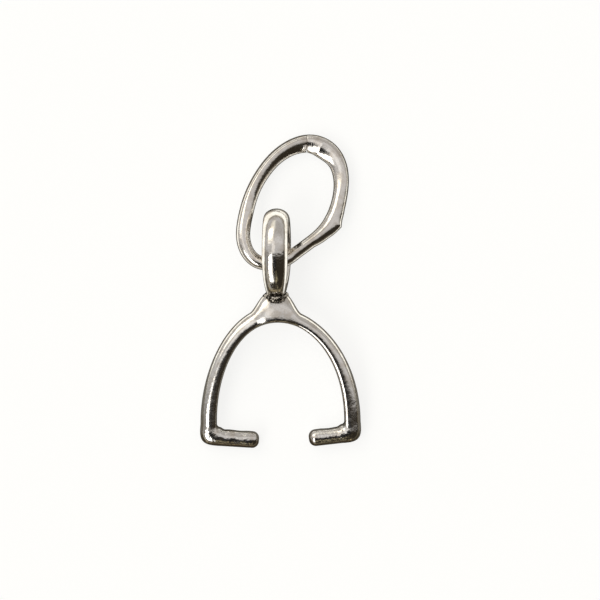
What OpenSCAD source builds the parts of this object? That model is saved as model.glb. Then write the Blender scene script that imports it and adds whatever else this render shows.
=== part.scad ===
// Pinch bail for a pendant, lying on its face with a loose jump ring in its eye.
// Millimetres. +Z is up, +Y runs from the prongs to the jump ring, and the floor is at z = 0.

/* [Stirrup] */
// Outside width over the two legs
stirrup_w = 8.2; // [7:0.1:14]
// Height of the crown's outside above the prongs' axis
stirrup_h = 6.82; // [5.5:0.1:14]
// Width of a leg, seen from the front
leg_w = 0.84; // [0.8:0.01:1.4]
// Width of the band at the crown, seen from the front
crown_w = 0.86; // [0.6:0.01:1.6]
// Thickness of the legs, front to back
leg_t = 0.96; // [0.9:0.01:1.6]
// Thickness of the neck, front to back
neck_t = 1.24; // [0.9:0.01:2]
// Distance from the inner edge to the crest, where the band is thickest
crest_in = 0.29; // [0.2:0.01:0.4]
// Height above the prongs' axis at which the straight legs start to lean in
spring_h = 0.82; // [0.8:0.02:1.4]
// Fullness of the arch's outer shoulders, where 2 is an oval
shoulder_out = 1.95; // [1.9:0.01:2.6]
// How much lower the crown is on the right of the neck
crown_drop = 0.14; // [0:0.01:0.3]
// Fullness of the arch's inner shoulders, where 2 is an oval
shoulder_in = 2.05; // [1.9:0.01:2.6]

/* [Neck] */
// Height of the neck above the crown
neck_h = 0.74; // [0.5:0.02:1.4]
// Squareness of the neck's shoulders
neck_square = 1.5; // [1:0.1:2.4]
// Reach of the neck's flare on the left
neck_flare_left = 1.4; // [0.8:0.05:2]
// Reach of the neck's flare on the right
neck_flare_right = 1.25; // [0.8:0.05:2]
// How far the neck stands left of the stirrup's middle
neck_shift = 0.21; // [0:0.01:0.4]

/* [Prongs] */
// Diameter of both prongs
prong_d = 0.86; // [0.7:0.01:1]
// Length of the left prong inside the leg
prong_left = 2.2; // [1.2:0.02:2.6]
// Length of the right prong inside the leg
prong_right = 1.9; // [1.2:0.02:2.6]
// How much shorter the right leg is than the left one
leg_short = 0.15; // [0:0.01:0.4]
// Droop of the left prong's tip, in degrees
droop_left = 3.5; // [0:0.5:12]
// Droop of the right prong's tip, in degrees
droop_right = 6.5; // [0:0.5:12]
// Rounding of the prongs' tips
tip_round = 0.16; // [0.05:0.01:0.3]
// Radius of the fillet between a leg and its prong
foot_fillet = 0.14; // [0.08:0.01:0.3]
// Step from the foot down to the prong
foot_step = 0.12; // [0.06:0.01:0.2]
// How much further the foot stands out than the prong, front and back
foot_lip = 0.03; // [0:0.01:0.06]
// Squareness of the foot's outer corner
foot_corner = 4.2; // [2.4:0.1:6]

/* [Eye] */
// Length of the eye along the bail
eye_l = 4.7; // [4:0.02:6]
// Height of the eye, front to back
eye_h = 3.1; // [2.9:0.02:5]
// Thickness of the eye's band
eye_t = 0.78; // [0.5:0.01:0.9]
// Width of the eye's band, away from the neck
eye_w = 1.32; // [1:0.01:1.8]
// Width of the eye's band at the neck
eye_foot_w = 0.88; // [0.6:0.01:1.4]
// Distance from the hole to the place where the eye's band is widest
eye_crest_in = 0.26; // [0.15:0.01:0.3]
// How sharply the band narrows towards the neck
eye_taper = 12; // [2:0.5:16]
// Depth to which the eye's end is sunk over the neck's top
eye_sink = 0.46; // [0.3:0.01:0.6]
// Width of the bead of solder along the neck's top
solder_w = 1.22; // [0.9:0.02:1.6]
// Thickness of the bead of solder
solder_d = 0.6; // [0.4:0.02:0.8]
// Lean of the eye, its foot to the right, in degrees
eye_lean = 5; // [0:0.5:10]

/* [Jump ring] */
// Length of the ring's oval, on its wire's centre line
ring_l = 6.7; // [5.6:0.05:9]
// Width of the ring's oval, on its wire's centre line
ring_w = 4.24; // [3.6:0.02:7]
// Diameter of the ring's wire
wire_d = 0.76; // [0.5:0.01:0.8]
// Turn of the oval's long axis from +X, in degrees
ring_turn = 58.8; // [40:0.2:80]
// Place on the ring that lies in the eye, in degrees from the far end
ring_at_eye = 204.5; // [180:0.5:225]
// Share of the eye's free room by which the ring lies below the eye's middle
ring_drop = 0.39; // [0:0.01:0.9]
// Clearance between the ring and the eye
ring_gap = 0.12; // [0.03:0.01:0.15]

/* [Hidden] */

section_sides = 18;
ring_sides = 16;
$fn = 48;

// Silver, and the darker solder at the neck is part of the same metal.
silver = [0.78, 0.77, 0.75];

prong_r = prong_d / 2;
wire_r = wire_d / 2;

// The loop of a hand-closed ring, one row for each 30 degrees from its far end: reach as a share
// of a true oval, width and height of the flattened wire as shares of its diameter.
RING_REACH = 0;
RING_WIDTH = 1;
RING_HEIGHT = 2;
ring_rows = [
    [0.965, 1.42, 0.80],
    [1.010, 1.20, 0.86],
    [1.025, 1.00, 0.96],
    [0.988, 0.93, 1.00],
    [0.967, 0.98, 0.98],
    [1.030, 0.95, 0.98],
    [1.035, 0.92, 0.98],
    [0.975, 0.97, 0.96],
    [0.948, 1.04, 0.94],
    [1.040, 1.10, 0.92],
    [1.008, 1.00, 0.94],
    [0.985, 1.15, 0.88],
];

// Shared curves

function mix(a, b, share) = a + (b - a) * share;
function signed_power(x, power) = sign(x) * pow(abs(x), power);

// One quarter turn of a superellipse, from [a, 0] at 0 degrees to [0, b] at 90.
function quarter(a, b, fullness, turn) =
    [a * signed_power(cos(turn), 2 / fullness), b * signed_power(sin(turn), 2 / fullness)];

// Half-round section, an oval outside its crest and flattened inside it. Its first share runs from
// 0 at the inner edge to 1 at the outer one, and its second runs across, from -1 to 1.
flat_power = 0.55;
function half_round(turn, crest) =
    cos(turn) >= 0
        ? [crest + (1 - crest) * cos(turn), sin(turn)]
        : [crest * (1 + signed_power(cos(turn), flat_power)), signed_power(sin(turn), flat_power)];

// Cubic through the evenly spaced rows of a closed table, by turn.
function cubic(p0, p1, p2, p3, t) =
    p1 + 0.5 * t * (p2 - p0 + t * (2 * p0 - 5 * p1 + 4 * p2 - p3 + t * (3 * (p1 - p2) + p3 - p0)));
function closed_row(rows, column, turn) =
    let (
        n = len(rows),
        place = turn / 360 * n,
        i = floor(place),
        at = function (k) rows[((i + k) % n + n) % n][column]
    )
    cubic(at(-1), at(0), at(1), at(2), place - i);

// Skin over rings of points that all have the same count, open with end caps or closed.
module skin(rings, closed = false) {
    n = len(rings);
    m = len(rings[0]);
    spans = closed ? n : n - 1;
    sides = [
        for (i = [0 : spans - 1], j = [0 : m - 1])
            let (
                k = (i + 1) % n,
                a = i * m + j,
                b = i * m + (j + 1) % m,
                c = k * m + (j + 1) % m,
                d = k * m + j
            )
            each [[a, b, c], [a, c, d]]
    ];
    caps = closed ? [] : [[for (j = [m - 1 : -1 : 0]) j], [for (j = [0 : m - 1]) (n - 1) * m + j]];
    polyhedron(points = [for (r = rings) each r], faces = concat(sides, caps), convexity = 6);
}

// Stirrup, in its own plane, with the prongs' axis at y = 0

half_w = stirrup_w / 2;
inner_half_w = half_w - leg_w;
inner_h = stirrup_h - crown_w;
neck_top_y = stirrup_h + neck_h;

// Shift of the arch to the left, which grows towards the crown.
function crown_lean(rise) = neck_shift * pow(rise / (stirrup_h - spring_h), 3);

// Share by which the outline has risen from the crown to the neck's top.
function neck_rise(x) =
    let (
        flare = x < 0 ? neck_flare_left : neck_flare_right,
        away = min(abs(x) / flare, 1)
    )
    0.5 + 0.5 * cos(180 * pow(away, neck_square));

// A station is [inner point, outer point, half thickness, share of its width inside the crest].
// side is -1 for the left leg and 1 for the right one.
function arch_station(turn) =
    let (
        side = turn >= 90 ? 1 : -1,
        lift = min(turn, 180 - turn),
        crown_h = stirrup_h - (side > 0 ? crown_drop : 0),
        outer = quarter(half_w, crown_h - spring_h, shoulder_out, lift),
        outer_y = spring_h + outer[1],
        inner = quarter(inner_half_w, inner_h - spring_h, shoulder_in, lift),
        inner_at = [side * inner[0] - crown_lean(inner[1]), spring_h + inner[1]],
        rise = neck_rise(side * outer[0]),
        outer_at = [side * outer[0] - crown_lean(outer[1]), mix(outer_y, neck_top_y, rise)]
    )
    [inner_at, outer_at, mix(leg_t, neck_t, rise) / 2, crest_in / norm(outer_at - inner_at)];

// Where the foot turns, in the hollow above the prong's root.
foot_x = inner_half_w - foot_fillet;
function foot_y(side) = prong_r + foot_step + foot_fillet + (side > 0 ? leg_short : 0);

// turn is 0 at the leg and 1 at the prong.
function foot_station(side, turn, droop) =
    let (
        angle = turn * (90 - droop),
        way = [side * cos(angle), -sin(angle)],
        square = pow(pow(abs(way[0]), foot_corner) + pow(abs(way[1]), foot_corner), -1 / foot_corner),
        reach = mix(leg_w, prong_d + foot_step, turn) + foot_fillet,
        hub = [side * foot_x, foot_y(side)]
    )
    [
        hub + foot_fillet * way,
        hub + reach * square * way,
        mix(leg_t / 2, prong_r + foot_lip, turn),
        mix(crest_in / leg_w, 0.5, turn),
    ];

function prong_way(side, droop) = [-side * cos(droop), -sin(droop)];
function prong_root(side, droop) =
    [side * foot_x, foot_y(side)] - (foot_fillet + foot_step + prong_r) * [side * sin(-droop), cos(droop)];

// Last station, shrunk so that it ends inside the prong.
blend_l = 0.6 * prong_d;
blend_r = 0.8 * prong_r;
function blend_station(side, droop) =
    let (
        way = prong_way(side, droop),
        across = [-side * sin(droop), cos(droop)],
        middle = prong_root(side, droop) + blend_l * way
    )
    [middle + blend_r * across, middle - blend_r * across, blend_r, 0.5];

function station_ring(station) =
    [
        for (i = [0 : section_sides - 1])
            let (
                s = half_round(360 * i / section_sides, station[3]),
                p = mix(station[0], station[1], s[0])
            )
            [p[0], p[1], -s[1] * station[2]]
    ];

foot_spans = 7;
arch_step = 4.5;
stirrup_stations = concat(
    [blend_station(-1, droop_left)],
    [for (i = [foot_spans : -1 : 0]) foot_station(-1, i / foot_spans, droop_left)],
    [for (turn = [arch_step : arch_step : 180 - arch_step]) arch_station(turn)],
    [for (i = [0 : foot_spans]) foot_station(1, i / foot_spans, droop_right)],
    [blend_station(1, droop_right)]
);

stirrup_rings = [for (s = stirrup_stations) station_ring(s)];

module stirrup() {
    skin(stirrup_rings);
}

// Prong: a true cylinder from inside the foot, with a rounded tip.
module prong(side, length, droop) {
    root = prong_root(side, droop);
    buried = 0.23 * prong_d;
    translate([root[0], root[1], 0])
        rotate([0, 0, side > 0 ? 180 + droop : -droop])
            translate([-buried, 0, 0])
                rotate([0, 90, 0])
                    rotate_extrude()
                        union() {
                            square([prong_r, length - foot_fillet + buried - tip_round]);
                            square([prong_r - tip_round, length - foot_fillet + buried]);
                            translate([prong_r - tip_round, length - foot_fillet + buried - tip_round])
                                circle(tip_round);
                        }
}

// Eye, a tapered half-round band in a plane square to the stirrup's

eye_y = neck_top_y - eye_sink + eye_l / 2;
eye_x = -neck_shift;

// turn is 0 at the neck and 180 at the far end.
function eye_ring(turn) =
    let (
        outer = [-eye_l / 2 * cos(turn), eye_h / 2 * sin(turn)],
        inner = [-(eye_l / 2 - eye_t) * cos(turn), (eye_h / 2 - eye_t) * sin(turn)],
        width = mix(eye_w, eye_foot_w, pow(abs(cos(turn / 2)), eye_taper)),
        crest = eye_crest_in / eye_t
    )
    [
        for (i = [0 : section_sides - 1])
            let (s = half_round(360 * i / section_sides, crest), p = mix(inner, outer, s[0]))
            [-s[1] * width / 2, p[0], p[1]]
    ];

eye_step = 7.5;
module eye() {
    translate([eye_x, eye_y, 0])
        rotate([0, -eye_lean, 0])
            skin([for (turn = [0 : eye_step : 360 - eye_step]) eye_ring(turn)], closed = true);
}

// Bead of solder along the neck's top, an oval turned about the X axis.
module solder() {
    translate([eye_x, neck_top_y - solder_d / 4, 0])
        rotate([0, 90, 0])
            rotate_extrude()
                polygon([
                    for (turn = [-90 : 10 : 90])
                        [solder_d / 2 * cos(turn), solder_w / 2 * sin(turn)]
                ]);
}

// How the bail lies: on its feet or prongs and on the back of its eye

// Depth of a prong's full round end below the prongs' axis.
function tip_depth(side, length, droop) =
    -(prong_root(side, droop) + (length - foot_fillet - tip_round) * prong_way(side, droop))[1];
tip_low = max(tip_depth(-1, prong_left, droop_left), tip_depth(1, prong_right, droop_right));
function eye_depth(pitch) = norm([eye_l / 2 * sin(pitch), eye_h / 2 * cos(pitch)]);
function front_depth(pitch) =
    max(
        prong_r + tip_low * sin(pitch),
        -min([for (r = stirrup_rings, p = r) p[1] * sin(pitch) + p[2] * cos(pitch)])
    );
function resting_pitch(guess, rounds) =
    rounds <= 0
        ? guess
        : resting_pitch(asin((eye_depth(guess) - front_depth(guess)) / eye_y), rounds - 1);
settle_rounds = 6;
pitch = resting_pitch(0, settle_rounds);
lift = front_depth(pitch);

// Jump ring, in the same lying frame as the bail

// The free room of the eye for the wire, half its length and half its height.
room_l = eye_l / 2 - eye_t - wire_r - ring_gap;
room_h = eye_h / 2 - eye_t - wire_r - ring_gap;
eye_middle = [eye_x, eye_y * cos(pitch), lift + eye_y * sin(pitch)];
wire_in_eye = eye_middle
    + [0, -ring_drop * room_l * cos(pitch), -ring_drop * room_l * sin(pitch)]
    - [0, 0, room_h * sqrt(1 - ring_drop * ring_drop)];

// Centre of the wire in the ring's own axes, long axis first.
function ring_oval(turn) =
    closed_row(ring_rows, RING_REACH, turn) * [ring_l / 2 * cos(turn), ring_w / 2 * sin(turn)];
function ring_half_h(turn) = closed_row(ring_rows, RING_HEIGHT, turn) * wire_r;
function ring_half_w(turn) = closed_row(ring_rows, RING_WIDTH, turn) * wire_r;

ring_step = 7.5;
ring_turns = [for (turn = [0 : ring_step : 360 - ring_step]) turn];
eye_place = ring_oval(ring_at_eye);

// The ring slopes from the eye down to the floor at its far end.
ring_slope = min([
    for (turn = ring_turns)
        let (ahead = ring_oval(turn)[0] - eye_place[0])
        if (ahead > ring_l / 2) (wire_in_eye[2] - ring_half_h(turn)) / ahead
]);

function ring_centre(turn) =
    let (
        flat = ring_oval(turn) - eye_place,
        c = cos(ring_turn),
        s = sin(ring_turn)
    )
    wire_in_eye + [flat[0] * c - flat[1] * s, flat[0] * s + flat[1] * c, -ring_slope * flat[0]];

function ring_section(turn) =
    let (
        ahead = ring_centre(turn + 1) - ring_centre(turn - 1),
        along = ahead / norm(ahead),
        out = cross(along, [0, 0, 1]),
        side = out / norm(out),
        up = cross(side, along),
        centre = ring_centre(turn)
    )
    [
        for (i = [0 : ring_sides - 1])
            let (a = 360 * i / ring_sides)
            centre + ring_half_w(turn) * cos(a) * side + ring_half_h(turn) * sin(a) * up
    ];
ring_sections = [for (turn = ring_turns) ring_section(turn)];

// The origin is at the middle of the whole outline, on the floor.
top_y = max([for (r = ring_sections, p = r) p[1]]);
bottom_y = -(tip_low + prong_r) * cos(pitch);
middle_y = (top_y + bottom_y) / 2;

module pinch_bail() {
    color(silver)
        translate([0, -middle_y, lift])
            rotate([pitch, 0, 0])
                union() {
                    stirrup();
                    eye();
                    solder();
                    prong(-1, prong_left, droop_left);
                    prong(1, prong_right, droop_right);
                }
}

module jump_ring() {
    color(silver)
        translate([0, -middle_y, 0])
            skin(ring_sections, closed = true);
}

pinch_bail();
jump_ring();
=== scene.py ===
"""Pinch bail with a loose jump ring: polished silver on a pale table, seen from straight above."""

from __future__ import annotations

import logging
import math
from collections.abc import Iterable
from dataclasses import dataclass, fields, replace
from enum import Enum
from functools import cached_property

import bmesh
import bpy
from bpy.types import ID, Material, Mesh, Node, NodeOutputs, NodeSocket, NodeTree, Object
from mathutils import Matrix, Vector

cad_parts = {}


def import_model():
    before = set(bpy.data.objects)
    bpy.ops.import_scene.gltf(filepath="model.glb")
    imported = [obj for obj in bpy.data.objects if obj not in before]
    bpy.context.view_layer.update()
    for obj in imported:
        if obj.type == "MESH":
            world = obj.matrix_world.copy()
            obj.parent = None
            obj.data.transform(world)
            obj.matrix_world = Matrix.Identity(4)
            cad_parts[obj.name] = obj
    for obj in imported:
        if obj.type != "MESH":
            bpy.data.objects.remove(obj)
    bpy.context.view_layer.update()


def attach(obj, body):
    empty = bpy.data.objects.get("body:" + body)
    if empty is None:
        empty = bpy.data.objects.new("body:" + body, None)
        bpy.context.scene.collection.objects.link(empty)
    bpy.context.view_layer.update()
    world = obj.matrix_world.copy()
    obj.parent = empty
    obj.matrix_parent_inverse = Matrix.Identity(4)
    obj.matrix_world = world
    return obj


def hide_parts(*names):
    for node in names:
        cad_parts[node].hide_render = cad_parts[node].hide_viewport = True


LOG = logging.getLogger("pinch_bail")

MM = 0.001
FAR = 60.0

Feed = NodeSocket | float | int | bool | str | tuple | Vector | Material
Colour = tuple[float, float, float]
Pair = tuple[float, float]
SOCKET_KINDS = {
    float: "NodeSocketFloat",
    int: "NodeSocketInt",
    bool: "NodeSocketBool",
    tuple: "NodeSocketColor",
}


class Side(Enum):
    """The two legs of the stirrup, by the sign of their X."""

    LEFT = -1
    RIGHT = 1


class Ends(Enum):
    """What a skin does at the ends of its row of stations."""

    CLOSED_POLES = 0
    JOINED_ROUND = 1


# Small shared sums


def mix(a: float, b: float, share: float) -> float:
    """Goes from a to b by share."""
    return a + (b - a) * share


def smooth(share: float) -> float:
    """Eases a share from 0 to 1 and holds it there."""
    t = min(max(share, 0.0), 1.0)
    return t * t * (3 - 2 * t)


def signed_power(x: float, power: float) -> float:
    """Raises the size of x to a power and keeps its sign."""
    return math.copysign(abs(x) ** power, x)


def quarter(a: float, b: float, fullness: float, turn: float) -> Pair:
    """Gives a point of a quarter superellipse.

    Args:
        a: Half width, reached at turn 0.
        b: Half height, reached at a quarter turn.
        fullness: Squareness, where 2 is an oval.
        turn: Angle in radians.

    Returns:
        The point, across and up.
    """
    power = 2 / fullness
    return a * signed_power(math.cos(turn), power), b * signed_power(math.sin(turn), power)


def spaced(count: int) -> list[float]:
    """Gives count + 1 even shares from 0 to 1."""
    return [i / count for i in range(count + 1)]


# Node trees


@dataclass
class TreeMaker:
    """Adds nodes to a tree and links them.

    Args:
        tree: The node tree that is filled.
    """

    tree: NodeTree

    def node(self, kind: str, feeds: dict[str | int, Feed] | None = None, **settings: object) -> Node:
        """Adds a node.

        Args:
            kind: The node's type name.
            feeds: Sockets by name or number, each with a socket to link or a plain value.
            **settings: The node's own properties.

        Returns:
            The new node.
        """
        made = self.tree.nodes.new(kind)
        for key, value in settings.items():
            setattr(made, key, value)
        for key, value in (feeds or {}).items():
            self.feed(made.inputs[key], value)
        return made

    def feed(self, socket: NodeSocket, value: Feed) -> None:
        """Links or sets an input.

        Args:
            socket: The input.
            value: A socket to link to it, or the plain value that it gets.
        """
        if isinstance(value, NodeSocket):
            self.tree.links.new(value, socket)
        else:
            socket.default_value = value

    def math(self, operation: str, *values: Feed) -> NodeSocket:
        """Adds a Math node of that operation and returns its value."""
        return self.node("ShaderNodeMath", dict(enumerate(values)), operation=operation).outputs[0]

    def times(self, first: Feed, *others: Feed) -> NodeSocket:
        """Multiplies numbers.

        Args:
            first: The first number.
            *others: The others.

        Returns:
            The product.
        """
        for other in others:
            first = self.math("MULTIPLY", first, other)
        return first

    def vector(self, operation: str, *values: Feed) -> NodeSocket:
        """Adds a Vector Math node of that operation and returns its vector."""
        return self.node("ShaderNodeVectorMath", dict(enumerate(values)), operation=operation).outputs[0]

    def scaled(self, vector: Feed, factor: Feed) -> NodeSocket:
        """Multiplies a vector by a number."""
        return self.node("ShaderNodeVectorMath", {0: vector, "Scale": factor}, operation="SCALE").outputs[0]

    def millimetres(self) -> NodeSocket:
        """Gives the object's own coordinates in millimetres."""
        return self.scaled(self.node("ShaderNodeTexCoord").outputs["Object"], 1 / MM)

    def ramp(self, value: Feed, low: float, high: float, start: float = 0.0, end: float = 1.0) -> NodeSocket:
        """Eases a value from one number to another and holds it outside.

        Args:
            value: What is eased.
            low: Value at which the result is start.
            high: Value at which it is end.
            start: First result.
            end: Last result.

        Returns:
            The result.
        """
        made = self.node(
            "ShaderNodeMapRange",
            {"Value": value, "From Min": low, "From Max": high, "To Min": start, "To Max": end},
            interpolation_type="SMOOTHSTEP",
        )
        return made.outputs["Result"]

    def blend(self, share: Feed, first: Feed, second: Feed) -> NodeSocket:
        """Mixes two colours by share.

        Args:
            share: How much of the second colour there is.
            first: First colour, a socket or plain numbers.
            second: Second colour.

        Returns:
            The mixed colour.
        """
        made = self.node("ShaderNodeMix", {"Factor": share}, data_type="RGBA")
        for socket, colour in zip((s for s in made.inputs if s.type == "RGBA"), (first, second)):
            self.feed(socket, colour if isinstance(colour, NodeSocket) else (*colour, 1))
        return next(s for s in made.outputs if s.type == "RGBA")

    def noise(self, vector: Feed, scale: Feed, detail: float = 2.0, roughness: float = 0.5) -> NodeSocket:
        """Adds smooth noise.

        Args:
            vector: Place at which it is read.
            scale: Number of waves in one unit of that place.
            detail: Number of finer layers.
            roughness: Strength of each layer beside the one before.

        Returns:
            Its value, from 0 to 1.
        """
        made = self.node(
            "ShaderNodeTexNoise",
            {"Vector": vector, "Scale": scale, "Detail": detail, "Roughness": roughness},
        )
        return made.outputs["Fac"]

    def group(self, tree: NodeTree, feeds: dict[str, Feed]) -> NodeOutputs:
        """Places a shared group with its own values and returns its outputs."""
        return self.node("ShaderNodeGroup", feeds, node_tree=tree).outputs

    def metal(self, colour: Feed, roughness: Feed, height: Feed) -> None:
        """Ends a material as bare metal.

        Args:
            colour: Its colour.
            roughness: Blur of its reflections.
            height: Height of its surface, in millimetres.
        """
        bump = self.node("ShaderNodeBump", {"Height": height, "Strength": 1.0, "Distance": MM})
        feeds = {"Base Color": colour, "Metallic": 1.0, "Roughness": roughness, "Normal": bump.outputs[0]}
        shader = self.node("ShaderNodeBsdfPrincipled", feeds)
        self.node("ShaderNodeOutputMaterial", {"Surface": shader.outputs["BSDF"]})

    def hand_over(self, geometry: NodeSocket, finish: NodeSocket) -> None:
        """Ends a geometry tree: shaded smooth, made real and given its material.

        Args:
            geometry: What the tree made.
            finish: The input that holds the material.
        """
        for kind, feeds in (
            ("GeometryNodeSetShadeSmooth", {}),
            ("GeometryNodeRealizeInstances", {}),
            ("GeometryNodeSetMaterial", {"Material": finish}),
        ):
            geometry = self.node(kind, {"Geometry": geometry, **feeds}).outputs[0]
        self.node("NodeGroupOutput", {0: geometry})


def new_group(kind: str, name: str, inputs: dict[str, Feed], outputs: dict[str, str]) -> TreeMaker:
    """Makes an empty node group with named sockets.

    Args:
        kind: The tree's type name.
        name: The group's name.
        inputs: First value of each input, by name, or its socket type where it has no such value.
        outputs: NodeSocket type of each output, by name.

    Returns:
        A maker that holds the new group.
    """
    tree = bpy.data.node_groups.new(name, kind)
    for label, value in inputs.items():
        is_kind = isinstance(value, str)
        socket_type = value if is_kind else SOCKET_KINDS[type(value)]
        socket = tree.interface.new_socket(label, in_out="INPUT", socket_type=socket_type)
        if not is_kind:
            socket.default_value = value
    for label, socket_type in outputs.items():
        tree.interface.new_socket(label, in_out="OUTPUT", socket_type=socket_type)
    return TreeMaker(tree)


def inputs_of(owner: object, names: Iterable[str]) -> dict[str, Feed]:
    """Reads the fields that feed a tree's inputs, which have the same names in small letters."""
    return {name: getattr(owner, name.lower().replace(" ", "_")) for name in names}


def new_material(name: str) -> tuple[Material, TreeMaker]:
    """Makes a material with an empty tree.

    Args:
        name: The material's name.

    Returns:
        The material, and a maker that holds its tree.
    """
    made = bpy.data.materials.new(name)
    made.use_nodes = True
    made.node_tree.nodes.clear()
    return made, TreeMaker(made.node_tree)


def new_object(name: str, data: ID) -> Object:
    """Makes an object and puts it in the scene.

    Args:
        name: The object's name.
        data: Its mesh or camera.

    Returns:
        The object.
    """
    made = bpy.data.objects.new(name, data)
    bpy.context.scene.collection.objects.link(made)
    return made


def turn_outwards(mesh: Mesh) -> None:
    """Flips a closed mesh if its volume is negative, so that its faces point outwards.

    Args:
        mesh: The mesh, which is changed in place.
    """
    work = bmesh.new()
    work.from_mesh(mesh)
    if work.calc_volume(signed=True) < 0:
        bmesh.ops.reverse_faces(work, faces=work.faces)
        work.to_mesh(mesh)
    work.free()


def grown(tree: NodeTree, name: str, guide_mesh: Mesh, inputs: dict[str, object]) -> Object:
    """Runs a geometry tree on a guide and turns the result into a plain mesh.

    Args:
        tree: The tree that makes the shape.
        name: The piece's name.
        guide_mesh: The mesh that the tree starts from. It is removed.
        inputs: Values of the tree's inputs, by name.

    Returns:
        The piece, at the origin, with its outside outwards.
    """
    guide = new_object(name + "_guide", guide_mesh)
    modifier = guide.modifiers.new("grow", "NODES")
    modifier.node_group = tree
    ids = {s.name: s.identifier for s in tree.interface.items_tree if s.in_out == "INPUT"}
    for label, value in inputs.items():
        modifier[ids[label]] = value
    depsgraph = bpy.context.evaluated_depsgraph_get()
    mesh = bpy.data.meshes.new_from_object(guide.evaluated_get(depsgraph))
    mesh.name = name
    bpy.data.objects.remove(guide)
    bpy.data.meshes.remove(guide_mesh)
    turn_outwards(mesh)
    return new_object(name, mesh)


# Skins


@dataclass(frozen=True)
class Profile:
    """Outline of a section.

    Args:
        crest: Share of the width from the inner edge to the crest, where it is thickest.
        square_out: Squareness outside the crest, where 2 is an oval.
        square_in: Squareness inside the crest.
        fall_out: Share of the thickness that is lost by the outer edge.
        fall_in: Share of the thickness that is lost by the inner edge.
    """

    crest: float = 0.5
    square_out: float = 2.0
    square_in: float = 2.0
    fall_out: float = 0.0
    fall_in: float = 0.0

    def towards(self, other: Profile, share: float) -> Profile:
        """Goes from this outline to another one by share."""
        return Profile(*(mix(getattr(self, f.name), getattr(other, f.name), share) for f in fields(self)))


@dataclass(frozen=True)
class Station:
    """One section of a swept piece.

    Args:
        inner: Point at the inner edge, in millimetres.
        outer: Point at the outer edge.
        half: Vector from the middle plane to the face, at the crest.
        profile: Its outline.
    """

    inner: Vector
    outer: Vector
    half: Vector
    profile: Profile = Profile()

    def moved(self, place: Matrix) -> Station:
        """Gives the same section after a move."""
        return Station(place @ self.inner, place @ self.outer, place.to_3x3() @ self.half, self.profile)

    def shrunk(self, share: float) -> Station:
        """Gives the section shrunk to a share of its size, about its middle.

        Args:
            share: Share of its size.

        Returns:
            The smaller section.
        """
        middle = (self.inner + self.outer) / 2
        return Station(
            middle + (self.inner - middle) * share,
            middle + (self.outer - middle) * share,
            self.half * share,
            self.profile,
        )


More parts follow.
